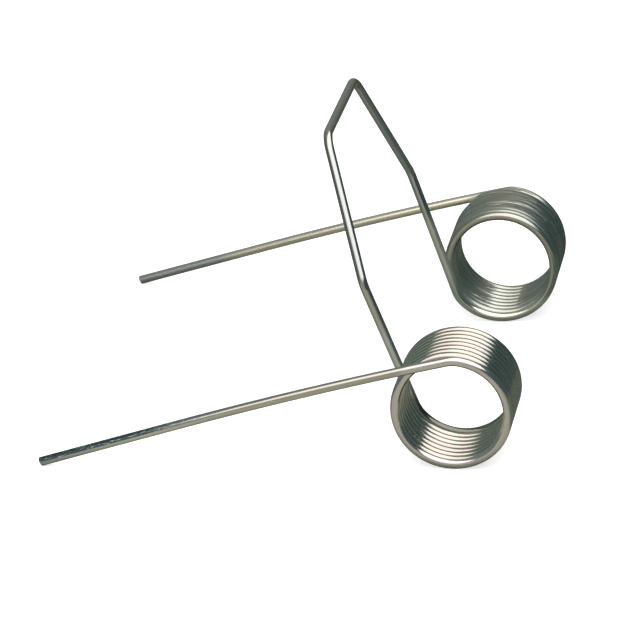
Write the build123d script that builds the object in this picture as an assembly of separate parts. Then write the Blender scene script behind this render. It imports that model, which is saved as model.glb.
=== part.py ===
from build123d import *
from math import acos, atan2, cos, degrees, hypot, radians, sin, tan
import os

# Double torsion spring: one length of round spring wire, wound into two
# close coils that are mirror images of each other. A straight leg leaves the
# outer end of each coil, and the inner ends rise into one shared loop.
#
# The wire is drawn looking along the coils' common axis, which is the local Z:
# local X points away from the legs, local Y is up from the legs. One half is
# drawn at +Z and mirrored in the mid plane. The spring is then tilted about
# the coils' axis until its coils and its leg tips touch one level surface, as
# it comes to rest. The origin is on the coils' axis, in the mid plane.

# Wire and coils, in millimetres
WIRE_DIAMETER = 3.0
COIL_MEAN_DIAMETER = 36.5
TURN_CLEARANCE = 0.04
WHOLE_TURNS = 8
COIL_GAP = 101.0

# The turns at both ends of a coil open a little, so that the bend beside
# them clears the next turn
ARM_END_OPENING = 1.25
ARM_END_OPENING_SPAN = 270.0
LEG_END_OPENING = 0.75
LEG_END_OPENING_SPAN = 180.0

# Legs: a bend, a stretch with a long gentle bow, and a straight end, sheared
# a little off square with its upper side longer, and its edge broken
LEG_BEND_ANGLE = 21.9
LEG_BOWED_LENGTH = 89.0
LEG_BOW_RADIUS = 1400.0
LEG_STRAIGHT_LENGTH = 49.0
LEG_SPLAY = 1.05
SHEAR_SLANT = 8.0
TIP_CHAMFER = 0.2

# Loop: two arms that rise from the coils, lean together at a bend and end
# in a crossbar
LEG_TO_ARM_ANGLE = 263.85
ARM_BEND_ANGLE = 23.3
LOWER_ARM_LENGTH = 47.2
ARM_FLARE = 4.1
CROSSBAR_LENGTH = 56.4
CROSSBAR_HEIGHT = 83.5
CROSSBAR_SETBACK = 26.3

# Radii of the forming pins, measured to the wire's centre line
COIL_BEND_RADIUS = 10.0
LOOP_BEND_RADIUS = 8.0

# Sizes that follow from the ones above
wire_radius = WIRE_DIAMETER / 2
coil_radius = COIL_MEAN_DIAMETER / 2
pitch = WIRE_DIAMETER + TURN_CLEARANCE
part_turn = LEG_TO_ARM_ANGLE - LEG_BEND_ANGLE - ARM_BEND_ANGLE
coil_angle = 360 * WHOLE_TURNS + part_turn
arm_end_angle = 90 - LEG_TO_ARM_ANGLE + ARM_BEND_ANGLE


def coil_point(turned):
    """Centre of the wire after an angle, in degrees, from the coil's inner end."""
    angle = radians(arm_end_angle + turned)
    arm_share = max(0, 1 - turned / ARM_END_OPENING_SPAN)
    leg_share = max(0, 1 - (coil_angle - turned) / LEG_END_OPENING_SPAN)
    along = COIL_GAP / 2 + pitch * turned / 360
    along -= ARM_END_OPENING * arm_share**2
    along += LEG_END_OPENING * leg_share**2
    return Vector(coil_radius * cos(angle), coil_radius * sin(angle), along)


def coil_direction(turned):
    """Direction of the wire there, towards the coil's outer end."""
    step = 0.01
    return (coil_point(turned + step) - coil_point(turned - step)).normalized()


def opened_turn(start, end):
    """The stretch of a coil whose pitch widens, from one turned angle to another."""
    spacing = 15
    steps = round((end - start) / spacing)
    points = [coil_point(start + (end - start) * i / steps) for i in range(steps + 1)]
    directions = [coil_direction(start), coil_direction(end)]
    # Unit tangents at full strength keep the curve on the coil's radius
    return Spline(points, tangents=directions, tangent_scalars=[1, 1])


def close_turns():
    """The close-wound stretch between the two opened ends: a plain helix."""
    start = ARM_END_OPENING_SPAN
    end = coil_angle - LEG_END_OPENING_SPAN
    helix = Helix(pitch, pitch * (end - start) / 360, coil_radius)
    return Pos(0, 0, coil_point(start).Z) * Rot(0, 0, arm_end_angle + start) * helix


def bend(corner, before, after, radius):
    """The arc that rounds a corner between two directions of travel."""
    half_turn = radians(before.get_angle(after)) / 2
    reach = radius * tan(half_turn)
    inward = (after - before).normalized()
    start = corner - before * reach
    end = corner + after * reach
    middle = corner + inward * radius * (1 / cos(half_turn) - 1)
    return ThreePointArc(start, middle, end)


def reversed_arc(arc):
    """The same arc, travelled the other way."""
    return ThreePointArc(arc @ 1, arc @ 0.5, arc @ 0)


def corner_past(end, before, after, radius):
    """The corner whose bend begins exactly at the end of the coil."""
    half_turn = radians(before.get_angle(after)) / 2
    return end + before * radius * tan(half_turn)


def loop_half():
    """From the middle of the crossbar, over one arm, to the coil's inner end."""
    coil_end = coil_point(0)
    leaves_coil = coil_direction(0) * -1
    lean = radians(LEG_TO_ARM_ANGLE)
    flare = radians(ARM_FLARE)
    up_arm = Vector(cos(lean) * cos(flare), -sin(lean) * cos(flare), sin(flare))
    foot = corner_past(coil_end, leaves_coil, up_arm, COIL_BEND_RADIUS)
    knee = foot + up_arm * LOWER_ARM_LENGTH
    middle = Vector(-CROSSBAR_SETBACK, CROSSBAR_HEIGHT, 0)
    along_bar = Vector(0, 0, 1)
    shoulder = middle + along_bar * CROSSBAR_LENGTH / 2
    down_upper = (knee - shoulder).normalized()
    down_lower = up_arm * -1
    shoulder_bend = bend(shoulder, along_bar, down_upper, LOOP_BEND_RADIUS)
    knee_bend = bend(knee, down_upper, down_lower, LOOP_BEND_RADIUS)
    foot_bend = bend(foot, down_lower, leaves_coil * -1, COIL_BEND_RADIUS)
    crossbar = Line(middle, shoulder_bend @ 0)
    upper_arm = Line(shoulder_bend @ 1, knee_bend @ 0)
    lower_arm = Line(knee_bend @ 1, foot_bend @ 0)
    return [crossbar, shoulder_bend, upper_arm, knee_bend, lower_arm, foot_bend]


def leg():
    """The lines from the coil's outer end to the tip, and the tip's direction."""
    coil_end = coil_point(coil_angle)
    leaves_coil = coil_direction(coil_angle)
    splay = radians(LEG_SPLAY)
    outward = Vector(-cos(splay), 0, sin(splay))
    down = Vector(0, -1, 0)
    corner = corner_past(coil_end, leaves_coil, outward, COIL_BEND_RADIUS)
    leg_bend = bend(corner, leaves_coil, outward, COIL_BEND_RADIUS)
    bow_angle = LEG_BOWED_LENGTH / LEG_BOW_RADIUS
    bow_start = leg_bend @ 1
    forward = outward * LEG_BOW_RADIUS * sin(bow_angle)
    bow_end = bow_start + forward + down * LEG_BOW_RADIUS * (1 - cos(bow_angle))
    bowed = TangentArc(bow_start, bow_end, tangent=outward)
    tip_direction = outward * cos(bow_angle) + down * sin(bow_angle)
    tip = bow_end + tip_direction * LEG_STRAIGHT_LENGTH
    return leg_bend, bowed, Line(bow_end, tip), tip_direction


def wire_along(lines):
    """The round wire swept along lines that follow one another."""
    path = Wire([edge for line in lines for edge in line.edges()])
    start = Plane(origin=lines[0] @ 0, z_dir=lines[0] % 0)
    return sweep(start * Circle(wire_radius), path=path)


def leg_wire():
    """One leg, swept from its tip to the coil, then sheared and chamfered."""
    leg_bend, bowed, straight, tip_direction = leg()
    tip = straight @ 1
    untrimmed = Line(tip + tip_direction * WIRE_DIAMETER, straight @ 0)
    wire = wire_along([untrimmed, reversed_arc(bowed), reversed_arc(leg_bend)])
    shear = Plane(origin=tip, z_dir=tip_direction.rotate(Axis.Z, SHEAR_SLANT))
    wire = split(wire, bisect_by=shear, keep=Keep.BOTTOM)
    tip_face = wire.faces().sort_by_distance(tip)[0]
    return chamfer(tip_face.edges(), TIP_CHAMFER)


def half_spring():
    """Half the spring: half the loop, one coil and one leg."""
    inner_turn = opened_turn(0, ARM_END_OPENING_SPAN)
    outer_turn = opened_turn(coil_angle - LEG_END_OPENING_SPAN, coil_angle)
    coil = [inner_turn, close_turns(), outer_turn]
    return wire_along(loop_half() + coil) + leg_wire()


def rest_plane():
    """The local plane once the coils and the leg tips touch one level surface."""
    straight, tip_direction = leg()[2:]
    short_of_tip = wire_radius * tan(radians(SHEAR_SLANT)) + TIP_CHAMFER
    contact = (straight @ 1) - tip_direction * short_of_tip
    low_x = contact.X - wire_radius * tip_direction.Y
    low_y = contact.Y + wire_radius * tip_direction.X
    to_tip = degrees(atan2(low_y, low_x))
    down = to_tip + degrees(acos((coil_radius + wire_radius) / hypot(low_x, low_y)))
    tilt = radians(270 - down)
    return Plane(origin=(0, 0, 0), x_dir=(cos(tilt), 0, sin(tilt)), z_dir=(0, -1, 0))


def torsion_spring():
    """The whole spring, one solid, lying as it rests."""
    half = half_spring()
    whole = half + mirror(half, about=Plane.XY)
    return rest_plane() * whole


os.makedirs("parts", exist_ok=True)
spring = torsion_spring()
export_step(spring, "parts/torsion_spring.step")
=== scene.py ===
# %% [markdown]
# # A double torsion spring
#
# The object is one length of round spring wire. A machine winds two close coils
# into it, one the mirror image of the other, leaves a straight leg at the outer
# end of each, and bends the piece between them into a raised loop. Such springs
# push back a lid, a flap or a tine when the loop is pressed towards the legs.
#
# There is one piece to dress, so nearly all the work is in two things: a wire
# that follows exactly the rule that the solid follows, and a steel that looks
# drawn, wound and handled.

# %% Load the frame
from math import acos, atan2, cos, degrees, hypot, pi, radians, sin, tan

import bpy
from mathutils import Matrix, Vector


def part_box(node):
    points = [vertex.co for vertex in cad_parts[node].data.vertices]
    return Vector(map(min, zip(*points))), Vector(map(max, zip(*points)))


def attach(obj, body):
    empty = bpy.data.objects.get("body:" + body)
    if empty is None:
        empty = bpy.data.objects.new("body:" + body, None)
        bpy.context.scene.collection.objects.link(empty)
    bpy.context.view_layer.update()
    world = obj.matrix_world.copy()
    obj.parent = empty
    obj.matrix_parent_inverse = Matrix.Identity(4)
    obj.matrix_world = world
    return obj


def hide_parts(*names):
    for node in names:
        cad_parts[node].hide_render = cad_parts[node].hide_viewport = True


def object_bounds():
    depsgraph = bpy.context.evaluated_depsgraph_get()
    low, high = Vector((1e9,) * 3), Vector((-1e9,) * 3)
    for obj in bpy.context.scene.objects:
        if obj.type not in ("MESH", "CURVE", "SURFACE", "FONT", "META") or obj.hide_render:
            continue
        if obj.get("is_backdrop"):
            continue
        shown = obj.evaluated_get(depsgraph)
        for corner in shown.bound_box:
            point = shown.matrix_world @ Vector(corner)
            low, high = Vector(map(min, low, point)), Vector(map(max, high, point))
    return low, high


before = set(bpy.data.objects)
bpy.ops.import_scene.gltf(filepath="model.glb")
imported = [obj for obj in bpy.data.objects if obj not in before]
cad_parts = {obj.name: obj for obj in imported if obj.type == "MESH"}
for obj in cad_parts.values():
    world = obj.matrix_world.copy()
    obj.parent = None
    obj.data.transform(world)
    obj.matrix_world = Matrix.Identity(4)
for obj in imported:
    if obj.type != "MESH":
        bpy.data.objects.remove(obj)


def plain_box(box):
    """A box's two corners as plain lists of numbers."""
    return [list(corner) for corner in box]


cad_box = plain_box(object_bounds())
lowest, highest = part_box("torsion_spring")
print("The spring spans", [round(1000 * side, 1) for side in highest - lowest], "mm")

# %% [markdown]
# ## The sizes of the spring
#
# The same named lengths and angles shape the solid. They could be read off the
# imported mesh, but a mesh of loose triangles doesn't know where a bend starts.
# Written out here, they let each bend, turn and leg be made at its true place.
# Lengths are in metres, because that is what Blender's frame uses.

# %% Name the sizes
MM = 0.001

WIRE_RADIUS = 1.5 * MM
COIL_RADIUS = 18.25 * MM
PITCH = 3.04 * MM
WHOLE_TURNS = 8
COIL_GAP = 101.0 * MM

ARM_END_OPENING = 1.25 * MM
ARM_END_SPAN = radians(270)
LEG_END_OPENING = 0.75 * MM
LEG_END_SPAN = radians(180)

LEG_BEND = radians(21.9)
LEG_BOWED_LENGTH = 89.0 * MM
LEG_BOW_RADIUS = 1400.0 * MM
LEG_STRAIGHT = 49.0 * MM
LEG_SPLAY = radians(1.05)
SHEAR_SLANT = radians(8)
TIP_CHAMFER = 0.2 * MM

LEG_TO_ARM = radians(263.85)
ARM_BEND = radians(23.3)
LOWER_ARM = 47.2 * MM
ARM_FLARE = radians(4.1)
CROSSBAR = 56.4 * MM
CROSSBAR_HEIGHT = 83.5 * MM
CROSSBAR_SETBACK = 26.3 * MM

COIL_BEND_RADIUS = 10.0 * MM
LOOP_BEND_RADIUS = 8.0 * MM

coil_angle = 2 * pi * WHOLE_TURNS + LEG_TO_ARM - LEG_BEND - ARM_BEND
start_angle = pi / 2 - LEG_TO_ARM + ARM_BEND
print("Each coil turns", round(coil_angle / (2 * pi), 2), "times")

# %% [markdown]
# ## Where the coil begins and ends
#
# The arms and the legs join on to the coils, so the coil's own rule comes first.
# It uses the drawing's own axes: local Z is the coils' common axis, X points
# away from the legs, and Y is up from them. One half is drawn, and the other is
# its mirror image.


# %% Follow the coil
def coil_point(turned):
    """The wire's centre after an angle from the coil's inner end."""
    arm_share = max(0, 1 - turned / ARM_END_SPAN)
    leg_share = max(0, 1 - (coil_angle - turned) / LEG_END_SPAN)
    along = COIL_GAP / 2 + PITCH * turned / (2 * pi)
    along += LEG_END_OPENING * leg_share**2 - ARM_END_OPENING * arm_share**2
    angle = start_angle + turned
    return Vector((COIL_RADIUS * cos(angle), COIL_RADIUS * sin(angle), along))


def coil_direction(turned):
    """The wire's direction there, towards the outer end."""
    step = 0.0002
    return (coil_point(turned + step) - coil_point(turned - step)).normalized()


coil_length = coil_point(coil_angle).z - coil_point(0).z
print("Each coil is", round(coil_length / MM, 1), "mm long between its wire's ends")

# %% [markdown]
# ## The corners of the bent wire
#
# A bender thinks of a wire as straight runs that would meet at sharp corners,
# and of a pin that rounds each corner. Only the corners are worked out here.
# The rounding is left to a node further down, which does it for all of them.


# %% Work out the loop's corners
def reach(before, after, radius):
    """How far from a corner its rounding begins."""
    return radius * tan(before.angle(after) / 2)


up_arm = Vector((
    cos(LEG_TO_ARM) * cos(ARM_FLARE),
    -sin(LEG_TO_ARM) * cos(ARM_FLARE),
    sin(ARM_FLARE),
))
into_arm = -coil_direction(0)
foot = coil_point(0) + into_arm * reach(into_arm, up_arm, COIL_BEND_RADIUS)
knee = foot + up_arm * LOWER_ARM
bar_middle = Vector((-CROSSBAR_SETBACK, CROSSBAR_HEIGHT, 0))
shoulder = bar_middle + Vector((0, 0, CROSSBAR / 2))
print("An upper arm is", round((shoulder - knee).length / MM, 1), "mm from corner to corner")

# %% [markdown]
# ## The leg and its sheared tip
#
# The leg leaves the coil at a bend, runs in a long gentle bow and ends
# straight. A shear cuts it a little off square, so the cut has a direction of
# its own.

# %% Work out the leg's corners
outward = Vector((-cos(LEG_SPLAY), 0, sin(LEG_SPLAY)))
down = Vector((0, -1, 0))
into_leg = coil_direction(coil_angle)
leg_reach = reach(into_leg, outward, COIL_BEND_RADIUS)
heel = coil_point(coil_angle) + into_leg * leg_reach
bow_start = heel + outward * leg_reach
bow_angle = LEG_BOWED_LENGTH / LEG_BOW_RADIUS
bow_end = bow_start + outward * LEG_BOW_RADIUS * sin(bow_angle)
bow_end += down * LEG_BOW_RADIUS * (1 - cos(bow_angle))
tip_direction = outward * cos(bow_angle) + down * sin(bow_angle)
tip = bow_end + tip_direction * LEG_STRAIGHT
shear_normal = Matrix.Rotation(SHEAR_SLANT, 3, "Z") @ tip_direction
print("A leg reaches", round((tip - heel).length / MM, 1), "mm from its bend")

# %% [markdown]
# ## How the spring lies
#
# Set down on a table, the spring rolls about its coils' axis until the coils
# and the two leg tips touch. That tilt could be found by a simulation, but two
# circles and a point are enough: the table is the line that touches the coil
# and passes under the tip.

# %% Tilt to the table
contact = tip - tip_direction * (WIRE_RADIUS * tan(SHEAR_SLANT) + TIP_CHAMFER)
low_x = contact.x - WIRE_RADIUS * tip_direction.y
low_y = contact.y + WIRE_RADIUS * tip_direction.x
to_coil_side = acos((COIL_RADIUS + WIRE_RADIUS) / hypot(low_x, low_y))
tilt = 1.5 * pi - atan2(low_y, low_x) - to_coil_side
tilt = (tilt + pi) % (2 * pi) - pi
print("The spring lies tilted by", round(degrees(tilt), 2), "degrees")

# %% [markdown]
# ## Sums with sockets
#
# Both the wire's shape and its steel are sums over many values. A node editor
# shows each plus and minus as a box, which soon hides the sum. This small class
# wraps a socket, so the sums can be written as ordinary Python. Each operator
# has its reflected form, so that 1 - mask works as well as mask - 1. The same
# class serves Geometry Nodes and materials.


# %% Wrap sockets in a class
class Value:
    """An output socket of a node tree that takes part in sums."""

    def __init__(self, maker, socket):
        self.maker = maker
        self.socket = socket

    def math(self, operation, *terms):
        """The result of one Math node."""
        inputs = dict(enumerate(terms))
        return self.maker.add("ShaderNodeMath", {"operation": operation}, inputs)[0]

    def __add__(self, other):
        return self.math("ADD", self, other)

    def __radd__(self, other):
        return self.math("ADD", other, self)

    def __sub__(self, other):
        return self.math("SUBTRACT", self, other)

    def __rsub__(self, other):
        return self.math("SUBTRACT", other, self)

    def __mul__(self, other):
        return self.math("MULTIPLY", self, other)

    def __rmul__(self, other):
        return self.math("MULTIPLY", other, self)

    def __truediv__(self, other):
        return self.math("DIVIDE", self, other)

    def __rtruediv__(self, other):
        return self.math("DIVIDE", other, self)

    def __pow__(self, other):
        return self.math("POWER", self, other)

    def __rpow__(self, other):
        return self.math("POWER", other, self)

    def __neg__(self):
        return self.math("SUBTRACT", 0.0, self)

    def __abs__(self):
        return self.math("ABSOLUTE", self)

    def __gt__(self, other):
        return self.math("GREATER_THAN", self, other)

    def __lt__(self, other):
        return self.math("LESS_THAN", self, other)

    def sign(self):
        return self.math("SIGN", self)

    def sine(self):
        return self.math("SINE", self)

    def cosine(self):
        return self.math("COSINE", self)

    def at_least(self, other):
        return self.math("MAXIMUM", self, other)

    def at_most(self, other):
        return self.math("MINIMUM", self, other)

    def clamped(self):
        return self.at_least(0.0).at_most(1.0)

    def rises(self, start, width):
        """0 up to a start, then up to 1 over a width."""
        return ((self - start) / width).clamped()

    def falls(self, end, width):
        """1 until a width before an end, then down to 0 at the end."""
        return ((end - self) / width).clamped()


# %% [markdown]
# ## One way to add a node
#
# Every other node comes from one method. It takes the node's type, its settings
# and what goes into its sockets, in that order, because a setting such as the
# number of a switch's items makes the sockets that are filled next. A few short
# methods on top of it name the nodes that are used often.


# %% Make nodes by one method
class Made:
    """A node's outputs, each by its name or number, as values."""

    def __init__(self, maker, node):
        self.maker = maker
        self.node = node

    def __getitem__(self, key):
        return Value(self.maker, self.node.outputs[key])


class Maker:
    """Adds nodes to one tree."""

    def __init__(self, tree):
        self.tree = tree

    def set_up(self, node, name, setting):
        """One setting of a node, before any of its sockets is filled."""
        if name == "stops":
            ramp = node.color_ramp
            while len(ramp.elements) < len(setting):
                ramp.elements.new(0.5)
            for element, (place, colour) in zip(ramp.elements, setting):
                element.position = place
                element.color = (*colour, 1)
        elif name == "items":
            while len(node.index_switch_items) < setting:
                node.index_switch_items.new()
        elif name == "captured":
            node.capture_items.new(*setting)
        else:
            setattr(node, name, setting)

    def add(self, kind, settings=None, inputs=None):
        """One new node. A socket takes another node's value or a plain one."""
        node = self.tree.nodes.new(kind)
        for name, setting in (settings or {}).items():
            self.set_up(node, name, setting)
        for key, value in (inputs or {}).items():
            if isinstance(value, Value):
                self.tree.links.new(value.socket, node.inputs[key])
            else:
                node.inputs[key].default_value = value
        return Made(self, node)

    def vector(self, x, y, z):
        return self.add("ShaderNodeCombineXYZ", {}, {"X": x, "Y": y, "Z": z})[0]

    def parts(self, vector):
        made = self.add("ShaderNodeSeparateXYZ", {}, {0: vector})
        return made["X"], made["Y"], made["Z"]

    def vector_math(self, operation, *terms):
        inputs = dict(enumerate(terms))
        made = self.add("ShaderNodeVectorMath", {"operation": operation}, inputs)
        return made["Value"] if operation == "DOT_PRODUCT" else made["Vector"]

    def scaled(self, vector, factor):
        inputs = {0: vector, "Scale": factor}
        return self.add("ShaderNodeVectorMath", {"operation": "SCALE"}, inputs)["Vector"]

    def choose(self, data_type, index, options):
        """The option with the number that the index gives."""
        settings = {"data_type": data_type, "items": len(options)}
        inputs = {0: index}
        inputs.update({place + 1: option for place, option in enumerate(options)})
        return self.add("GeometryNodeIndexSwitch", settings, inputs)[0]

    def ramp(self, value, stops):
        """A colour that passes through the stops as the value rises."""
        return self.add("ShaderNodeValToRGB", {"stops": stops}, {"Fac": value})["Color"]

    def mixed(self, factor, first, second, blend="MIX"):
        """Two colours mixed. Of a Mix node's many sockets, 6 and 7 take the
        colours, and output 2 gives the result."""
        second = second if isinstance(second, Value) else (*second, 1)
        settings = {"data_type": "RGBA", "blend_type": blend}
        return self.add("ShaderNodeMix", settings, {0: factor, 6: first, 7: second})[2]

    def feed(self, value, shader, name):
        """Links a value to one of a shader's sockets."""
        self.tree.links.new(value.socket, shader.inputs[name])


# %% [markdown]
# ## The wire as a rule
#
# The centre line runs from one tip to the other: leg, coil, arm, crossbar, and
# the same again mirrored. Drawing it by hand as a curve would need hundreds of
# points in the coils. A Geometry Nodes tree states the rule once instead. It
# numbers the points from the middle of the crossbar outwards, and each number
# picks a corner, a place on the coil or a place on the leg.

# %% List what the tree is given
sizes = {
    "Wire radius": WIRE_RADIUS,
    "Coil radius": COIL_RADIUS,
    "Pitch": PITCH,
    "Coil angle": coil_angle,
    "Start angle": start_angle,
    "Coil gap": COIL_GAP,
    "Arm end opening": ARM_END_OPENING,
    "Arm end span": ARM_END_SPAN,
    "Leg end opening": LEG_END_OPENING,
    "Leg end span": LEG_END_SPAN,
    "Bow radius": LEG_BOW_RADIUS,
    "Bow angle": bow_angle,
    "Loop bend radius": LOOP_BEND_RADIUS,
    "Coil bend radius": COIL_BEND_RADIUS,
    "Tip chamfer": TIP_CHAMFER,
    "Tilt": tilt,
}
corners = {
    "Bar middle": bar_middle,
    "Shoulder": shoulder,
    "Knee": knee,
    "Foot": foot,
    "Heel": heel,
    "Bow start": bow_start,
    "Outward": outward,
    "Tip": tip,
    "Tip direction": tip_direction,
    "Shear normal": shear_normal,
}
counts = {"Coil steps": 860, "Bow steps": 12, "Bend steps": 14, "Wire sides": 32}
print("The rule takes", len(sizes), "sizes,", len(corners), "corners and", len(counts), "counts")

# %% [markdown]
# ## Named inputs
#
# Every size goes in through a named input, so that the tree could wind another
# spring from other numbers. A modifier knows an input by its identifier and not
# by its name, so the identifiers are kept as the inputs are made.

# %% Start the wire's tree
tree = bpy.data.node_groups.new("bent_spring_wire", "GeometryNodeTree")
make = Maker(tree)
socket_ids = {}


def tree_input(name, kind):
    """Adds a named input to the tree and keeps its identifier."""
    made = tree.interface.new_socket(name, in_out="INPUT", socket_type=kind)
    socket_ids[name] = made.identifier


tree_input("Geometry", "NodeSocketGeometry")
for name in sizes:
    tree_input(name, "NodeSocketFloat")
for name in corners:
    tree_input(name, "NodeSocketVector")
for name in counts:
    tree_input(name, "NodeSocketInt")
tree_input("Steel", "NodeSocketMaterial")
tree.interface.new_socket("Geometry", in_out="OUTPUT", socket_type="NodeSocketGeometry")
given = make.add("NodeGroupInput")
print("The wire's tree has", len(socket_ids), "named inputs")

# %% [markdown]
# ## Numbering the points
#
# Points 0 to 3 of a half are the crossbar's middle, the shoulder, the knee and
# the foot of the arm. The coil's points follow, then the heel where the leg
# bends off, the bowed stretch, and two points at the tip for its broken edge.
# The stage counts these nine kinds of point from 0 to 8. Each comparison that
# comes true raises it by one, half a step before the number that starts a kind.

# %% Number the points
FIRST_ON_COIL = 4
HALF_STEP = 0.5

index = make.add("GeometryNodeInputIndex")[0]
coil_steps = given["Coil steps"]
bow_steps = given["Bow steps"]
heel_number = coil_steps + FIRST_ON_COIL + 1.0
bow_number = heel_number + 1.0
tip_number = bow_number + bow_steps + 2.0
from_middle = index - tip_number
side = from_middle.sign()
number = abs(from_middle)
stage = number.at_most(FIRST_ON_COIL)
for first in (heel_number, bow_number, tip_number - 1.0, tip_number):
    stage = stage + (number > first - HALF_STEP)
print("Nine kinds of point are numbered, and a coil starts at point", FIRST_ON_COIL)

# %% [markdown]
# ## The coil
#
# A coil is a circle that climbs by one pitch a turn. The first and last turns
# open a little, because the bend beside them pushes the wire aside, so the
# climb gets a small extra term at each end that fades with the square of the
# distance.

# %% Place the coil's points
turn_share = ((number - FIRST_ON_COIL) / coil_steps).clamped()
turned = turn_share * given["Coil angle"]
angle = turned + given["Start angle"]
arm_share = (1.0 - turned / given["Arm end span"]).at_least(0.0)
leg_share = (1.0 - (given["Coil angle"] - turned) / given["Leg end span"]).at_least(0.0)
climb = given["Coil gap"] * 0.5 + given["Pitch"] * turned / (2 * pi)
climb = climb - given["Arm end opening"] * arm_share**2.0
climb = climb + given["Leg end opening"] * leg_share**2.0
across = given["Coil radius"] * angle.cosine()
upward = given["Coil radius"] * angle.sine()
on_coil = make.vector(across, upward, climb)
print("A turn has", round(counts["Coil steps"] * 2 * pi / coil_angle), "points")

# %% [markdown]
# ## The bowed leg
#
# The leg's long bow is an arc of a very large circle. Its points stop where the
# straight end begins, and the last point but one lies a chamfer's width behind
# the tip, where the broken edge starts.

# %% Place the leg's points
bow_share = ((number - bow_number) / bow_steps).clamped()
bow_turn = bow_share * given["Bow angle"]
gone = given["Bow radius"] * bow_turn.sine()
dropped = given["Bow radius"] * (1.0 - bow_turn.cosine())
on_leg = make.vector_math("ADD", given["Bow start"], make.scaled(given["Outward"], gone))
on_leg = make.vector_math("ADD", on_leg, make.vector(0.0, -dropped, 0.0))
behind_tip = make.scaled(given["Tip direction"], -given["Tip chamfer"])
behind_tip = make.vector_math("ADD", given["Tip"], behind_tip)
bow_drop = LEG_BOW_RADIUS * (1 - cos(bow_angle))
print("The bow drops the leg by", round(bow_drop / MM, 1), "mm")

# %% [markdown]
# ## One spline with rounded corners
#
# The numbered points become one spline, and a Fillet node rounds each corner by
# the radius of the pin that bent it. The two bends beside each coil stop just
# short of the coil's first point, so no two points of the spline coincide.

# %% Join the points and round the corners
JUST_SHORT = 0.98

loop_bend = given["Loop bend radius"]
coil_bend = given["Coil bend radius"] * JUST_SHORT
kinds_of_point = [
    (given["Bar middle"], 0.0),
    (given["Shoulder"], loop_bend),
    (given["Knee"], loop_bend),
    (given["Foot"], coil_bend),
    (on_coil, 0.0),
    (given["Heel"], coil_bend),
    (on_leg, 0.0),
    (behind_tip, 0.0),
    (given["Tip"], 0.0),
]
places, bends = zip(*kinds_of_point)
place = make.choose("VECTOR", stage, places)
place = make.vector_math("MULTIPLY", place, make.vector(1.0, 1.0, side))
bend_radius = make.choose("FLOAT", stage, bends)

point_inputs = {"Count": tip_number * 2.0 + 1.0, "Position": place, "Radius": 1.0}
points = make.add("GeometryNodePoints", {}, point_inputs)
spline = make.add("GeometryNodePointsToCurves", {}, {"Points": points[0], "Weight": index})
fillet_inputs = {"Curve": spline[0], "Count": given["Bend steps"], "Radius": bend_radius}
fillet = make.add("GeometryNodeFilletCurve", {"mode": "POLY"}, fillet_inputs)
print("The spline has", len(kinds_of_point), "kinds of point")

# %% [markdown]
# ## Remembering the straight wire
#
# Drawing lines, scuffs and dull patches run along the wire, so their patterns
# need to know where each spot was before the wire was bent. The tree keeps that
# as a position: how far along the wire, measured from the middle of the
# crossbar, and where around its round section. A UV map could hold the same,
# but it would have a seam, and this has none.


# %% Keep each point's place on the straight wire
def captured(geometry, kind, name, value):
    """A value kept on the geometry's points. Output 0 is the geometry, 1 the value."""
    settings = {"domain": "POINT", "captured": (kind, name)}
    return make.add("GeometryNodeCaptureAttribute", settings, {"Geometry": geometry, name: value})


length_so_far = make.add("GeometryNodeSplineParameter")["Length"]
half_length = make.add("GeometryNodeSplineLength")["Length"] * 0.5
along = length_so_far - half_length
to_tip = half_length - abs(along)
kept_along = captured(fillet[0], "FLOAT", "Along", along)
kept_to_tip = captured(kept_along[0], "FLOAT", "To tip", to_tip)

circle_inputs = {"Resolution": given["Wire sides"], "Radius": given["Wire radius"]}
circle = make.add("GeometryNodeCurvePrimitiveCircle", {"mode": "RADIUS"}, circle_inputs)
position = make.add("GeometryNodeInputPosition")[0]
kept_circle = captured(circle[0], "VECTOR", "Around", position)
print("Three values are kept: along the wire, to the tip and around the wire")

# %% [markdown]
# ## Skin and broken edges
#
# A circle carried along the spline gives the wire its skin. Its last ring is
# smaller than the others, which leaves the narrow broken edge of a cut that was
# dressed with a file.

# %% Skin the wire
is_last = 1.0 - (to_tip > given["Tip chamfer"] * 0.5)
ring_scale = 1.0 - is_last * given["Tip chamfer"] / given["Wire radius"]
skin_inputs = {
    "Curve": kept_to_tip[0],
    "Profile Curve": kept_circle[0],
    "Scale": ring_scale,
    "Fill Caps": True,
}
skin = make.add("GeometryNodeCurveToMesh", {}, skin_inputs)
print("The wire has", counts["Wire sides"], "sides, and its edge breaks by", TIP_CHAMFER / MM, "mm")

# %% [markdown]
# ## Sheared tips
#
# A shear cuts wire a little off square. A Boolean cut would do it too, but it
# would lose what the points remember. Instead the last two rings slide along
# the wire onto a slanted plane. The back half uses the mirror image of the
# plane, by the sign of the distance along the wire.

# %% Slide the last rings onto the cut
LAST_RINGS = 1.0 * MM

half_side = kept_along[1].sign()
flip = make.vector(1.0, 1.0, half_side)
direction = make.vector_math("MULTIPLY", given["Tip direction"], flip)
normal = make.vector_math("MULTIPLY", given["Shear normal"], flip)
ring_middle = make.vector_math("MULTIPLY", given["Tip"], flip)
ring_middle = make.vector_math("SUBTRACT", ring_middle, make.scaled(direction, kept_to_tip[1]))
from_ring_middle = make.vector_math("SUBTRACT", position, ring_middle)
over_plane = make.vector_math("DOT_PRODUCT", from_ring_middle, normal)
along_normal = make.vector_math("DOT_PRODUCT", direction, normal)
slide = make.scaled(direction, -(over_plane / along_normal))
near_tip = 1.0 - (kept_to_tip[1] > LAST_RINGS)
slant_inputs = {"Geometry": skin[0], "Selection": near_tip, "Offset": slide}
slanted = make.add("GeometryNodeSetPosition", {}, slant_inputs)
print("The cut slants by", round(degrees(SHEAR_SLANT), 1), "degrees")

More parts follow.
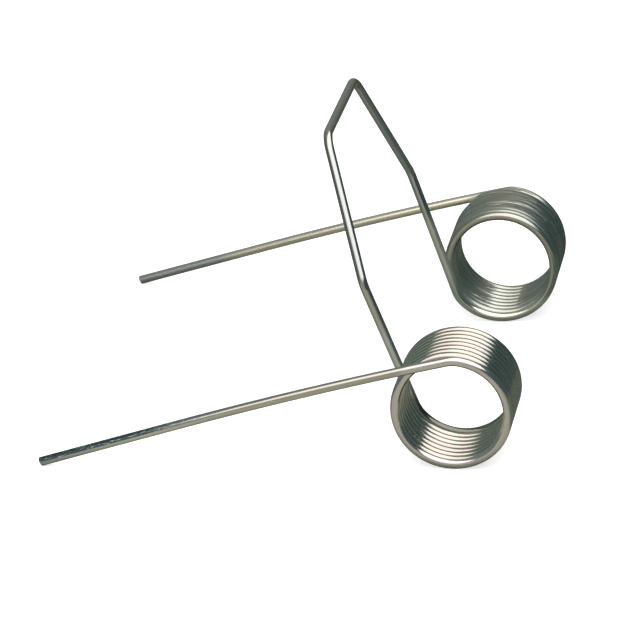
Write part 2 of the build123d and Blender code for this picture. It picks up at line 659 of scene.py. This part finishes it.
# %% [markdown]
# ## Naming what the steel will read
#
# Two attributes go with the mesh: each point's place on the straight wire, in
# millimetres, and a mark on the two cut faces, which have more corners than the
# four of any other face.


# %% Store the attributes
def stored(geometry, kind, domain, name, value):
    """The geometry with a named attribute."""
    settings = {"data_type": kind, "domain": domain}
    inputs = {"Geometry": geometry, "Name": name, "Value": value}
    return make.add("GeometryNodeStoreNamedAttribute", settings, inputs)[0]


around_x, around_y, _ = make.parts(kept_circle[1])
straight = make.scaled(make.vector(around_x, around_y, kept_along[1]), 1 / MM)
face_corners = make.add("GeometryNodeInputMeshFaceNeighbors")["Vertex Count"]
is_cut = face_corners > 4 + HALF_STEP
named = stored(slanted[0], "FLOAT_VECTOR", "POINT", "straight_wire", straight)
named = stored(named, "FLOAT", "FACE", "sheared_face", is_cut)
print("The mesh will carry straight_wire and sheared_face")

# %% [markdown]
# ## Smooth wire, sharp cuts
#
# The edges of the cuts are set sharp and all other edges smooth. The wire is
# then turned from the drawing's axes to the way that it lies on the table, and
# gets its steel.

# %% Finish the tree
SHARP_ANGLE = radians(25)

edge_angle = make.add("GeometryNodeInputMeshEdgeAngle")["Unsigned Angle"]
sharp_inputs = {"Geometry": named, "Selection": edge_angle > SHARP_ANGLE, "Shade Smooth": False}
sharp = make.add("GeometryNodeSetShadeSmooth", {"domain": "EDGE"}, sharp_inputs)
laid_angle = make.vector(pi / 2, -given["Tilt"], 0.0)
laid = make.add("GeometryNodeTransform", {}, {"Geometry": sharp[0], "Rotation": laid_angle})
real = make.add("GeometryNodeRealizeInstances", {}, {"Geometry": laid[0]})
dressed = make.add("GeometryNodeSetMaterial", {}, {"Geometry": real[0], "Material": given["Steel"]})
make.add("NodeGroupOutput", {}, {"Geometry": dressed[0]})
print("The wire's tree has", len(tree.nodes), "nodes")

# %% [markdown]
# ## Drawn spring steel
#
# Spring wire is pulled through dies, which leaves it bright, with fine lines
# along its length. The lines scatter light around the wire but not along it.
# The shader's own setting for that needs a direction, and the lines themselves
# give a better one: noise that is stretched about 250 times along the straight
# wire drives a shallow bump, the roughness and the colour together. Broader and
# shorter noises make the patches, streaks, specks and scratches of use.

# %% Draw the grain of the wire
steel = bpy.data.materials.new("drawn_spring_steel")
steel.use_nodes = True
shade = Maker(steel.node_tree)
place_on_wire = shade.add("ShaderNodeAttribute", {"attribute_name": "straight_wire"})["Vector"]
cut_face = shade.add("ShaderNodeAttribute", {"attribute_name": "sheared_face"})["Fac"]


def noise(size_around, size_along, detail, roughness=0.5):
    """Noise on the straight wire, with its grain size in millimetres."""
    fineness = (1 / size_around, 1 / size_around, 1 / size_along)
    grain = shade.vector_math("MULTIPLY", place_on_wire, fineness)
    inputs = {"Vector": grain, "Scale": 1.0, "Detail": detail, "Roughness": roughness}
    return shade.add("ShaderNodeTexNoise", {"noise_dimensions": "3D"}, inputs)["Fac"]


die_lines = noise(0.35, 90.0, 3.0, 0.55)
fine_lines = noise(0.12, 30.0, 2.0)
patches = noise(2.5, 30.0, 2.0)
streaks = noise(1.1, 45.0, 3.0, 0.6)
specks = noise(0.32, 2.4, 3.0, 0.65)
scratches = noise(0.5, 5.0, 3.0, 0.6)
print("Six noises run along the straight wire")

# %% [markdown]
# ## Finding the turns
#
# Many marks belong to one coil, or to one turn of it, so the steel has to know
# where it is. On the coils that comes from the piece's own coordinates: X and Z
# give the distance from the coils' axis, and Y tells one turn from the next.
# The first coil is the one at negative Y, and the second is at positive Y. Each
# place is a mask, 1 where a mark goes and 0 elsewhere, with a soft edge. Besides
# the masks, one distance is useful: how far a spot lies below the crests of the
# turns, which is the whole wire radius at the bottom of a groove.

# %% Mask the coils and their turns
WALL_REACH = COIL_RADIUS + WIRE_RADIUS + 1.75 * MM
SECOND_COIL_STARTS = 40.0 * MM
SECOND_INNER_TURN_ENDS = 52.6 * MM
FIRST_OUTER_TURN_STARTS = -74.6 * MM
TURN_EDGE = 0.6 * MM

solid_x, solid_y, solid_z = shade.parts(shade.add("ShaderNodeTexCoord")["Object"])
from_axis = (solid_x * solid_x + solid_z * solid_z) ** 0.5
below_crest = WIRE_RADIUS - abs(from_axis - COIL_RADIUS)
on_wall = from_axis.falls(WALL_REACH, 1.0 * MM)
outside = from_axis.rises(COIL_RADIUS - 0.5 * MM, 1.0 * MM)

second_coil = solid_y.rises(SECOND_COIL_STARTS, 6.0 * MM)
second_inner_turn = solid_y.falls(SECOND_INNER_TURN_ENDS, TURN_EDGE)
first_outer_turn = solid_y.falls(FIRST_OUTER_TURN_STARTS, TURN_EDGE) * on_wall
first_wall = on_wall * (1.0 - second_coil) * (1.0 - first_outer_turn)
print("The masks tell the two coils and two of their end turns apart")

# %% [markdown]
# ## Film and filled grooves
#
# A dull greenish film lies on the second coil and fills the grooves between its
# turns. The film is worn in streaks and thin on the innermost turn, whose foot
# gets a painted highlight. The fill starts beyond that turn, and it is rubbed out
# along the foot of the coil. The fill could be a second skin, but raising the
# bump in the grooves looks much the same and leaves the mesh round. On the side
# away from the legs, the film's outside gets painted shade.

# %% Lay the film
FILL_STARTS = 52.0 * MM
FILL_DEPTH = 0.85

worn = streaks.rises(0.53, 0.05)
rubbed = solid_z.falls(-13.0 * MM, 3.0 * MM) * abs(solid_x).falls(7.0 * MM, 3.0 * MM)
# Painted highlight: the foot of the second coil's innermost turn is painted bright, and the film is
# thinner there.
painted_highlight_foot = second_coil * second_inner_turn * on_wall * solid_z.falls(-9.0 * MM, 4.0 * MM)
film = on_wall * second_coil * (1.0 - second_inner_turn * 0.6) * (1.0 - painted_highlight_foot * 0.9)
film = (film * (1.0 - worn * 0.5) * (0.75 + patches * 0.5)).clamped()
# Painted shade: the film's outside is painted darker on the side away from the legs.
film_painted_shade = film * outside * solid_x.rises(3.0 * MM, 9.0 * MM)

fill = solid_y.rises(FILL_STARTS, 8.0 * MM) * FILL_DEPTH
groove_fill = on_wall * (fill * (1.0 - rubbed) * (1.0 - worn * 0.8))
lift = below_crest.at_least(0.0) * groove_fill / MM
print("The film fills the grooves to", FILL_DEPTH, "of their depth")

# %% [markdown]
# ## Painted shade on the first coil
#
# The first coil keeps its grooves open. Brown painted shade sits between its
# turns, scratches dull it, and darker painted shade lies on two of its flanks.
# On the flank above the leg, the crests get a painted highlight and their slopes
# get painted shade, so the turns show as lines. Inside, painted shade is darkest
# on the innermost turn, and it also lies on the flank away from the legs. The
# steel is left out of its own reflections, as told further down, so this painted
# shade stands in for the shade and reflections that one turn casts on the next.

# %% Paint shade on the first coil
FIRST_INNER_TURN_ENDS = -53.4 * MM

in_groove = below_crest.rises(0.38 * MM, 0.25 * MM)
# Painted shade between the first coil's turns.
groove_painted_shade = in_groove * first_wall
scuffs = scratches.rises(0.60, 0.05) * on_wall * (1.0 - second_coil)

# Painted highlight on the crests and painted shade on the slopes of the flank above the leg.
leg_flank_light_and_shade = first_wall * outside * solid_x.falls(-5.0 * MM, 4.0 * MM) * solid_z.rises(0.0, 6.0 * MM)
on_slope = below_crest.rises(0.16 * MM, 0.14 * MM)
# Painted shade on the flank away from the legs.
far_flank_painted_shade = first_wall * outside * solid_x.rises(9.0 * MM, 3.0 * MM)
far_flank_painted_shade = far_flank_painted_shade * solid_x.falls(17.5 * MM, 4.0 * MM) * (0.95 - worn * 0.5)

inner_wall = first_wall * (1.0 - outside) * solid_z.falls(-2.0 * MM, 5.0 * MM)
# Painted shade on the innermost turn, and on the inner flank away from the legs.
innermost_turn_painted_shade = inner_wall * solid_y.rises(FIRST_INNER_TURN_ENDS, 1.6 * MM)
inner_flank_painted_shade = inner_wall * solid_x.rises(4.0 * MM, 4.0 * MM)
print("The first coil has stain in its grooves, on two flanks and inside")

# %% [markdown]
# ## Finding the arms, legs and tips
#
# Past the coils the distance along the straight wire says where a mark goes. It
# is in millimetres from the crossbar's middle, positive on the first coil's
# half and negative on the second's. Where around the wire a spot lies comes
# from the same attribute, whose X points down on the legs.

# %% Mask the arms, legs and tips
ARM_STARTS = 28.0
PAST_KNEE = 90.0
ARM_ENDS = 128.0
SECOND_LEG_STARTS = 1104.5
FIRST_TARNISH_STARTS = 1188.5
SECOND_GREY_STARTS = 1217.5

around_down, _, along_wire = shade.parts(place_on_wire)
to_first = along_wire
to_second = -along_wire
on_arms = abs(along_wire).falls(ARM_ENDS, 12.0) * abs(along_wire).rises(ARM_STARTS, 6.0)
second_upper_arm = to_second.rises(ARM_STARTS, 6.0) * to_second.falls(PAST_KNEE + 2.0, 12.0)
first_lower_arm = to_first.rises(PAST_KNEE, 8.0) * on_arms
second_lower_arm = to_second.rises(PAST_KNEE, 8.0) * on_arms

second_leg = to_second.rises(SECOND_LEG_STARTS, 10.0)
first_leg_end = to_first.rises(FIRST_TARNISH_STARTS, 30.0)
first_tip_tarnish = first_leg_end * around_down.falls(0.05, 0.5)
second_tip_grey = to_second.rises(SECOND_GREY_STARTS, 8.0)
flecks = specks.rises(0.56, 0.08)
print("The tips' marks start", FIRST_TARNISH_STARTS, "and", SECOND_GREY_STARTS, "mm along the wire")

# %% [markdown]
# ## Colours of the bare steel, with painted light and shade
#
# Bare spring steel is a grey that drifts a little in patches. Over that, each
# stretch of the wire is painted lighter or darker to stand in for how bright its
# reflections are. Painted shade makes the upper arms the darkest, and painted
# highlights make the second leg, the first leg's end and the foot of one turn the
# brightest. The lower arms and the first coil's outer turn are painted lighter
# too. Each row below is a mask and the colour that it brings in, and the rows are
# mixed in turn. The drawing lines then darken the result along the wire.

# %% Colour the bare steel and paint its light and shade
patch_stops = [(0.35, (0.585, 0.59, 0.565)), (0.55, (0.65, 0.64, 0.605)), (0.7, (0.60, 0.585, 0.56))]
line_stops = [(0.30, (0.72, 0.71, 0.70)), (0.5, (1, 1, 1)), (0.72, (0.90, 0.89, 0.87))]
# Every row paints light or shade: a darker row is painted shade, a lighter row a painted highlight.
painted_light_and_shade = [
    (on_arms, (0.55, 0.575, 0.595)),
    (second_upper_arm * 0.8, (0.56, 0.60, 0.64)),
    (first_lower_arm, (0.66, 0.70, 0.76)),
    (second_lower_arm, (0.75, 0.77, 0.75)),
    (first_outer_turn, (0.75, 0.73, 0.75)),
    (painted_highlight_foot, (0.92, 0.93, 0.90)),
    (second_leg, (0.99, 0.95, 0.86)),
    (first_leg_end, (0.95, 0.97, 1.0)),
]
colour = shade.ramp(patches, patch_stops)
for mask, tint in painted_light_and_shade:
    colour = shade.mixed(mask, colour, tint)
colour = shade.mixed(1.0, colour, shade.ramp(die_lines, line_stops), "MULTIPLY")
print("The bare steel has", len(painted_light_and_shade), "tints over its patches")

# %% [markdown]
# ## Colours of film, painted light and shade, and tarnish
#
# What lies on the steel is mixed over it in the same way, and so is the painted
# light and shade of the first coil and the film, from the film to the tarnish on
# the tips. The first tip is tarnished dark on its upper side, with bright flecks,
# and the second is a dull grey. The sheared faces come last and are darker than
# bare wire, because a torn cut is full of small hollows.

# %% Colour what lies on the steel and paint shade over it
marks_and_painted_shade = [
    (film * 0.7, (0.60, 0.66, 0.61)),
    # The next seven rows are painted light and shade, not stain: painted shade between the first
    # coil's turns, a painted highlight and painted shade on its flank above the leg, and painted
    # shade on its far flank, its innermost turn, its inner flank and the film's side away from the
    # legs.
    (groove_painted_shade * 0.8, (0.62, 0.49, 0.43)),
    (leg_flank_light_and_shade * (0.75 - patches * 0.5), (0.80, 0.84, 0.76)),
    (leg_flank_light_and_shade * on_slope * 0.75, (0.16, 0.21, 0.17)),
    (far_flank_painted_shade * 0.75, (0.37, 0.45, 0.46)),
    (innermost_turn_painted_shade * 0.85, (0.13, 0.15, 0.13)),
    (inner_flank_painted_shade * 0.6, (0.36, 0.42, 0.35)),
    (film_painted_shade * 0.75, (0.27, 0.35, 0.37)),
    (first_tip_tarnish * (0.97 - flecks * 0.85), (0.08, 0.13, 0.17)),
    (second_tip_grey * (0.9 - flecks * 0.6), (0.52, 0.56, 0.62)),
    (cut_face, (0.33, 0.32, 0.30)),
]
for mask, stain in marks_and_painted_shade:
    colour = shade.mixed(mask, colour, stain)
print(len(marks_and_painted_shade), "marks lie over the steel")

# %% [markdown]
# ## Roughness and bump
#
# Bright wire is nearly a mirror, and each mark dulls it by its own amount. The
# lower arm beside the filmed coil is the dullest stretch. The drawing lines are
# only about a hundredth of a millimetre deep, and the groove fill joins the same
# bump, in millimetres too.


# %% Dull the marks and raise the lines
def plain_shader(tree, values):
    """A material's shader, with values that are the same all over."""
    shader = tree.nodes["Principled BSDF"]
    for name, value in values.items():
        shader.inputs[name].default_value = value
    return shader


BRIGHT_WIRE = 0.07
LINE_DEPTH = 0.015
dulling = [
    (die_lines, 0.10),
    (fine_lines, 0.05),
    (cut_face, 0.25),
    (film, 0.20),
    (second_leg, 0.12),
    (scuffs, 0.18),
    (first_tip_tarnish, 0.08),
    (second_tip_grey, 0.08),
    (second_lower_arm, 0.30),
]
roughness = BRIGHT_WIRE
for mask, amount in dulling:
    roughness = roughness + mask * amount

height = (die_lines * 0.7 + fine_lines * 0.3) * LINE_DEPTH + lift
bump_inputs = {"Height": height, "Strength": 1.0, "Distance": 1.0 * MM}
bump = shade.add("ShaderNodeBump", {}, bump_inputs)["Normal"]

steel_shader = plain_shader(steel.node_tree, {"Metallic": 1.0})
shade.feed(colour, steel_shader, "Base Color")
shade.feed(roughness.clamped(), steel_shader, "Roughness")
shade.feed(bump, steel_shader, "Normal")
print("The steel has", len(steel.node_tree.nodes), "nodes")

# %% [markdown]
# ## From tree to plain mesh
#
# The tree sits in a modifier on an empty mesh. Its inputs are set by their
# identifiers, the evaluated result is copied to a plain mesh, and the modifier
# goes with the carrier.

# %% Make the wire
carrier = bpy.data.objects.new("wire_carrier", bpy.data.meshes.new("wire_carrier"))
bpy.context.scene.collection.objects.link(carrier)
modifier = carrier.modifiers.new("bent_spring_wire", "NODES")
modifier.node_group = tree
for name, value in {**sizes, **corners, **counts, "Steel": steel}.items():
    modifier[socket_ids[name]] = value[:] if isinstance(value, Vector) else value
bpy.context.view_layer.update()
evaluated = carrier.evaluated_get(bpy.context.evaluated_depsgraph_get())
wire_mesh = bpy.data.meshes.new_from_object(evaluated)
bpy.data.objects.remove(carrier)
wire_mesh.name = "spring_wire"
wire = bpy.data.objects.new("spring_wire", wire_mesh)
bpy.context.scene.collection.objects.link(wire)
print("The wire has", len(wire_mesh.vertices), "points")

# %% [markdown]
# ## Is the skin closed?
#
# The enclosed volume is a quick test that the skin is closed and that it faces
# outwards: it should be nearly the solid's, and positive. Each triangle and the
# origin span a small pyramid, and the pyramids add up to the volume.

# %% Measure the wire
wire_mesh.calc_loop_triangles()
six_volumes = 0
for triangle in wire_mesh.loop_triangles:
    a, b, c = (wire_mesh.vertices[v].co for v in triangle.vertices)
    six_volumes += a.dot(b.cross(c))
print("The wire has", len(wire_mesh.loop_triangles), "triangles")
print("It encloses", round(six_volumes / 6 / MM**3, 1), "cubic mm")

# %% [markdown]
# ## Putting the wire in its place
#
# The wire rides on the one body, replaces the plain solid and has one slot.
#
# It is also left out of its own reflections. The steel sees dark paper below it
# and not the pale floor, so a coil that mirrors itself comes out nearly black
# inside, and a real one on a pale bench is lit by it from below. This is a
# lighting cheat: the grooves between the turns are lighter than they would be
# if the turns reflected each other.

# %% Dress the node
wire.visible_glossy = False
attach(wire, "root")
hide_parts("torsion_spring")
print("The wire stands in for torsion_spring")

# %% [markdown]
# ## Floor
#
# A plain pale floor lies where the coils and the tips touch it. It glows a
# little, like a light table, which keeps the shadows faint. Bright steel would
# mirror such a floor in the lower half of every wire and look washed out, so
# the floor stays out of the reflections.

# %% Lay the floor
FLOOR_HALF_SIDE = 6.0
FLOOR_GLOW = 0.72
WHITE = (1, 1, 1, 1)
BLACK = (0, 0, 0, 1)


def flat_sheet(name, outline, z):
    """A flat sheet with a material of its own, hidden from the camera at first."""
    mesh = bpy.data.meshes.new(name)
    mesh.from_pydata([(x, y, z) for x, y in outline], [], [range(len(outline))])
    paint = bpy.data.materials.new(name)
    paint.use_nodes = True
    mesh.materials.append(paint)
    made = bpy.data.objects.new(name, mesh)
    bpy.context.scene.collection.objects.link(made)
    made.visible_camera = False
    made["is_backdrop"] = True
    return made, paint.node_tree


floor_z = lowest.z
signs = ((-1, -1), (1, -1), (1, 1), (-1, 1))
floor_outline = [(x * FLOOR_HALF_SIDE, y * FLOOR_HALF_SIDE) for x, y in signs]
pale_floor, floor_tree = flat_sheet("pale_floor", floor_outline, floor_z)
pale_floor.visible_camera = True
pale_floor.visible_glossy = False
plain_shader(floor_tree, {
    "Base Color": (0.82, 0.82, 0.82, 1),
    "Roughness": 0.9,
    "Specular IOR Level": 0.1,
    "Emission Color": WHITE,
    "Emission Strength": FLOOR_GLOW,
})
print("The floor lies at", round(floor_z / MM, 2), "mm")

# %% [markdown]
# ## Paper for the steel to see
#
# A studio lays grey paper where only the steel sees it. It could be one even
# grey, but then every turn would look alike from below. This paper has painted
# light: it is lightest straight in front of the spring, towards the camera, and
# falls off to the sides. A second painted pale area runs under the legs and the
# gap between the coils, and grows darker towards the back. The paper shows in
# reflections and nowhere else.

# %% Paint light on the paper in two places
ABOVE_FLOOR = 0.01 * MM

paper_z = floor_z + ABOVE_FLOOR
grey_paper, paper_tree = flat_sheet("grey_paper", floor_outline, paper_z)
grey_paper.visible_diffuse = False
grey_paper.visible_shadow = False
paper = Maker(paper_tree)
paper_x, paper_y, _ = paper.parts(paper.add("ShaderNodeTexCoord")["Object"])
off_middle = abs(paper_y)

to_right = (paper_x - 18.0 * MM).at_least(0.0)
to_left = (-60.0 * MM - paper_x).at_least(0.0)
to_camera = (-72.0 * MM - paper_y).at_least(0.0)
in_front = to_camera / (to_camera + to_right + to_left * 0.3 + 4.0 * MM)

patch_edge = 11.0 * MM + (off_middle - 15.0 * MM).at_least(0.0) * 0.5
between = paper_x.falls(patch_edge, 12.0 * MM) * paper_x.rises(-160.0 * MM, 120.0 * MM)
between = between * paper_y.falls(85.0 * MM, 30.0 * MM)
lit = in_front.rises(0.15, 0.85).at_least(between * 0.62)
lit = lit * (1.0 - between * paper_y.rises(-20.0 * MM, 40.0 * MM) * 0.7)
print("The paper lies", ABOVE_FLOOR / MM, "mm above the floor")

# %% [markdown]
# ## Painted shade on the paper
#
# Painted shadow darkens the paper under the coils and the first leg. Painted
# shade also darkens it towards the far right, where the room is darkest. The
# share of painted light then picks a grey, from a deep green one in the shade to
# a warm pale one.

# %% Paint shade on the paper
painted_shadow_under_coils = abs(paper_x).falls(22.0 * MM, 6.0 * MM) * off_middle.falls(78.5 * MM, 3.0 * MM)
painted_shadow_under_coils = painted_shadow_under_coils * off_middle.rises(46.0 * MM, 4.0 * MM)
painted_shadow_under_leg = abs(paper_y + 74.0 * MM).falls(9.0 * MM, 5.0 * MM) * paper_x.falls(-15.0 * MM, 5.0 * MM)
lit = lit * (1.0 - painted_shadow_under_coils) * (1.0 - painted_shadow_under_leg * 0.5)
painted_shade_far_right = paper_y.rises(30.0 * MM, 90.0 * MM) * paper_x.rises(-20.0 * MM, 60.0 * MM) * 0.5
painted_shade_far_right = painted_shade_far_right.at_least(paper_x.rises(300.0 * MM, 500.0 * MM) * 0.6)

paper_stops = [
    (0.0, (0.075, 0.10, 0.085)),
    (0.15, (0.15, 0.18, 0.155)),
    (0.35, (0.255, 0.275, 0.225)),
    (0.6, (0.40, 0.405, 0.335)),
    (0.8, (0.48, 0.475, 0.40)),
    (1.0, (0.53, 0.515, 0.43)),
]
paper_tone = paper.ramp(0.15 + lit * 0.85 - painted_shade_far_right * 0.15, paper_stops)
paper_shader = plain_shader(paper_tree, {"Roughness": 0.9, "Specular IOR Level": 0.0})
paper.feed(paper_tone, paper_shader, "Base Color")
print("The paper's material has", len(paper_tree.nodes), "nodes")

# %% [markdown]
# ## Soft box
#
# Bright steel shows the room more than itself. One soft box, low over the
# spring and reaching towards the camera, gives the broad white band along the
# top of the wire. A lamp's rectangle would end that band at the wrong places on
# the legs, so the box is a glowing sheet with an outline of its own. It is
# warmer on the left, whiter on the right, and dimmer at its front end.

# %% Hang the soft box
SOFT_BOX_Z = 0.40
SOFT_BOX_GLOW = 1.8
FRONT_DIMMING = 0.45
soft_box_outline = [
    (-0.24, -0.13),
    (-0.14, -0.05),
    (-0.03, 0.10),
    (0.04, 0.25),
    (0.22, 0.28),
    (0.34, 0.10),
    (0.43, -0.16),
    (0.35, -0.45),
    (0.30, -0.90),
    (-0.46, -0.90),
    (-0.46, -0.50),
    (-0.33, -0.30),
]
box_stops = [(0.0, (0.93, 0.885, 0.80)), (0.5, (1.0, 0.96, 0.895)), (1.0, (1.0, 0.975, 0.92))]

_, box_tree = flat_sheet("soft_box", soft_box_outline, SOFT_BOX_Z)
box = Maker(box_tree)
box_x, box_y, _ = box.parts(box.add("ShaderNodeTexCoord")["Object"])
box_tone = box.ramp(box_x.rises(-0.25, 0.5), box_stops)
towards_front = box_y.falls(-0.42, 0.25) * FRONT_DIMMING
box_tone = box.mixed(towards_front, box_tone, (0.0, 0.0, 0.0))
box_values = {"Base Color": BLACK, "Specular IOR Level": 0.0, "Emission Strength": SOFT_BOX_GLOW}
box_shader = plain_shader(box_tree, box_values)
box.feed(box_tone, box_shader, "Emission Color")
print("The soft box hangs", round((SOFT_BOX_Z - floor_z) / MM), "mm above the floor")

# %% [markdown]
# ## Fill light
#
# A wide fill evens the floor, and is kept out of the reflections. Its power is
# worked out from how bright it should look, because a lamp's power is spread
# over its area. The Standard view keeps the floor's white and the steel's
# contrast as they are.

# %% Add the fill light
FILL_SIDE = 4.0
FILL_BRIGHTNESS = 0.9
FILL_HEIGHT = 2.5

scene = bpy.context.scene
scene.view_settings.view_transform = "Standard"
fill_light = bpy.data.lights.new("wide_fill", "AREA")
fill_light.size = FILL_SIDE
fill_light.energy = FILL_BRIGHTNESS * pi * FILL_SIDE**2
fill_lamp = bpy.data.objects.new("wide_fill", fill_light)
fill_lamp.location = (0, 0, FILL_HEIGHT)
fill_lamp.visible_camera = False
fill_lamp.visible_glossy = False
scene.collection.objects.link(fill_lamp)
print("The fill light has", round(fill_light.energy, 1), "watts")

# %% [markdown]
# ## The dim room
#
# What lies beyond the soft box shows in the sides of the wire: a grey-green
# wall on the left, a nearly black one on the right, warm light bounced from
# behind, a pale patch of ceiling on the left, and the pale clutter beside the
# camera. A picture of a room would do this too, but a few soft masks over the
# direction are enough for thin wires, and each can be moved by itself.

# %% Paint the room
world = bpy.data.worlds.new("dim_room")
scene.world = world
world.use_nodes = True
room = Maker(world.node_tree)
seen_x, seen_y, seen_z = room.parts(room.add("ShaderNodeTexCoord")["Generated"])

wall_stops = [
    (0.0, (0.15, 0.18, 0.165)),
    (0.15, (0.20, 0.235, 0.21)),
    (0.45, (0.24, 0.255, 0.225)),
    (0.60, (0.19, 0.21, 0.185)),
    (0.72, (0.125, 0.155, 0.14)),
    (0.85, (0.055, 0.09, 0.085)),
    (1.0, (0.07, 0.105, 0.10)),
]
bounce = seen_z.rises(0.40, 0.15) * seen_y.rises(-0.1, 0.3) * abs(seen_x).falls(0.5, 0.15)
ceiling = seen_z.rises(0.86, 0.06) * (-seen_x).rises(0.14, 0.08) * seen_y.falls(0.24, 0.12)
towards_camera = seen_x * -0.15 - seen_y * 0.99
clutter = towards_camera.rises(0.80, 0.13)

from_left_to_right = seen_x * 0.5 + 0.5
room_colour = room.ramp(from_left_to_right, wall_stops)
room_colour = room.mixed(bounce, room_colour, (0.30, 0.285, 0.25))
room_colour = room.mixed(ceiling, room_colour, (0.62, 0.60, 0.54))
room_colour = room.mixed(clutter, room_colour, (0.47, 0.45, 0.39))
room.feed(room_colour, world.node_tree.nodes["Background"], "Color")
print("The room has", len(world.node_tree.nodes), "nodes")

# %% [markdown]
# ## Camera
#
# A long lens from about 1.4 metres away, looking down at about twenty-two
# degrees. The camera is held with a slight roll, so its right and up are turned
# a little about the direction of view.

# %% Set the camera
CAMERA_AT = Vector((0.18874, -1.30739, 0.53327))
LOOKS_ALONG = Vector((-0.171797, 0.912842, -0.370411)).normalized()
ROLL = radians(-3.063)
FOCAL_LENGTH = 246.31
SENSOR_WIDTH = 36

camera_data = bpy.data.cameras.new("camera")
camera_data.sensor_width = SENSOR_WIDTH
camera_data.lens = FOCAL_LENGTH
camera_data.clip_start = 50 * MM
camera = bpy.data.objects.new("camera", camera_data)
level_right = LOOKS_ALONG.cross(Vector((0, 0, 1))).normalized()
level_up = level_right.cross(LOOKS_ALONG)
right = level_right * cos(ROLL) + level_up * sin(ROLL)
up = level_up * cos(ROLL) - level_right * sin(ROLL)
turned_camera = Matrix((right, up, -LOOKS_ALONG)).transposed().to_4x4()
camera.matrix_world = Matrix.Translation(CAMERA_AT) @ turned_camera
scene.collection.objects.link(camera)
scene.camera = camera
print("The camera is", round(CAMERA_AT.length, 2), "m from the middle of the coils' axis")

# %% [markdown]
# ## Closing
#
# The spring's outer box from before dressing and the one from after it are
# set side by side, and the largest gap between them is printed. They should agree
# to within a tenth of a millimetre, because the dressed wire follows the same rule
# as the solid.

# %% Compare the two boxes
sizes_seen = {"cad": cad_box, "visual": plain_box(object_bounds())}
cad_sides = sizes_seen["cad"][0] + sizes_seen["cad"][1]
visual_sides = sizes_seen["visual"][0] + sizes_seen["visual"][1]
box_gap = max(abs(cad - visual) for cad, visual in zip(cad_sides, visual_sides))
print("The two boxes differ by", round(box_gap / MM, 3), "mm at most")
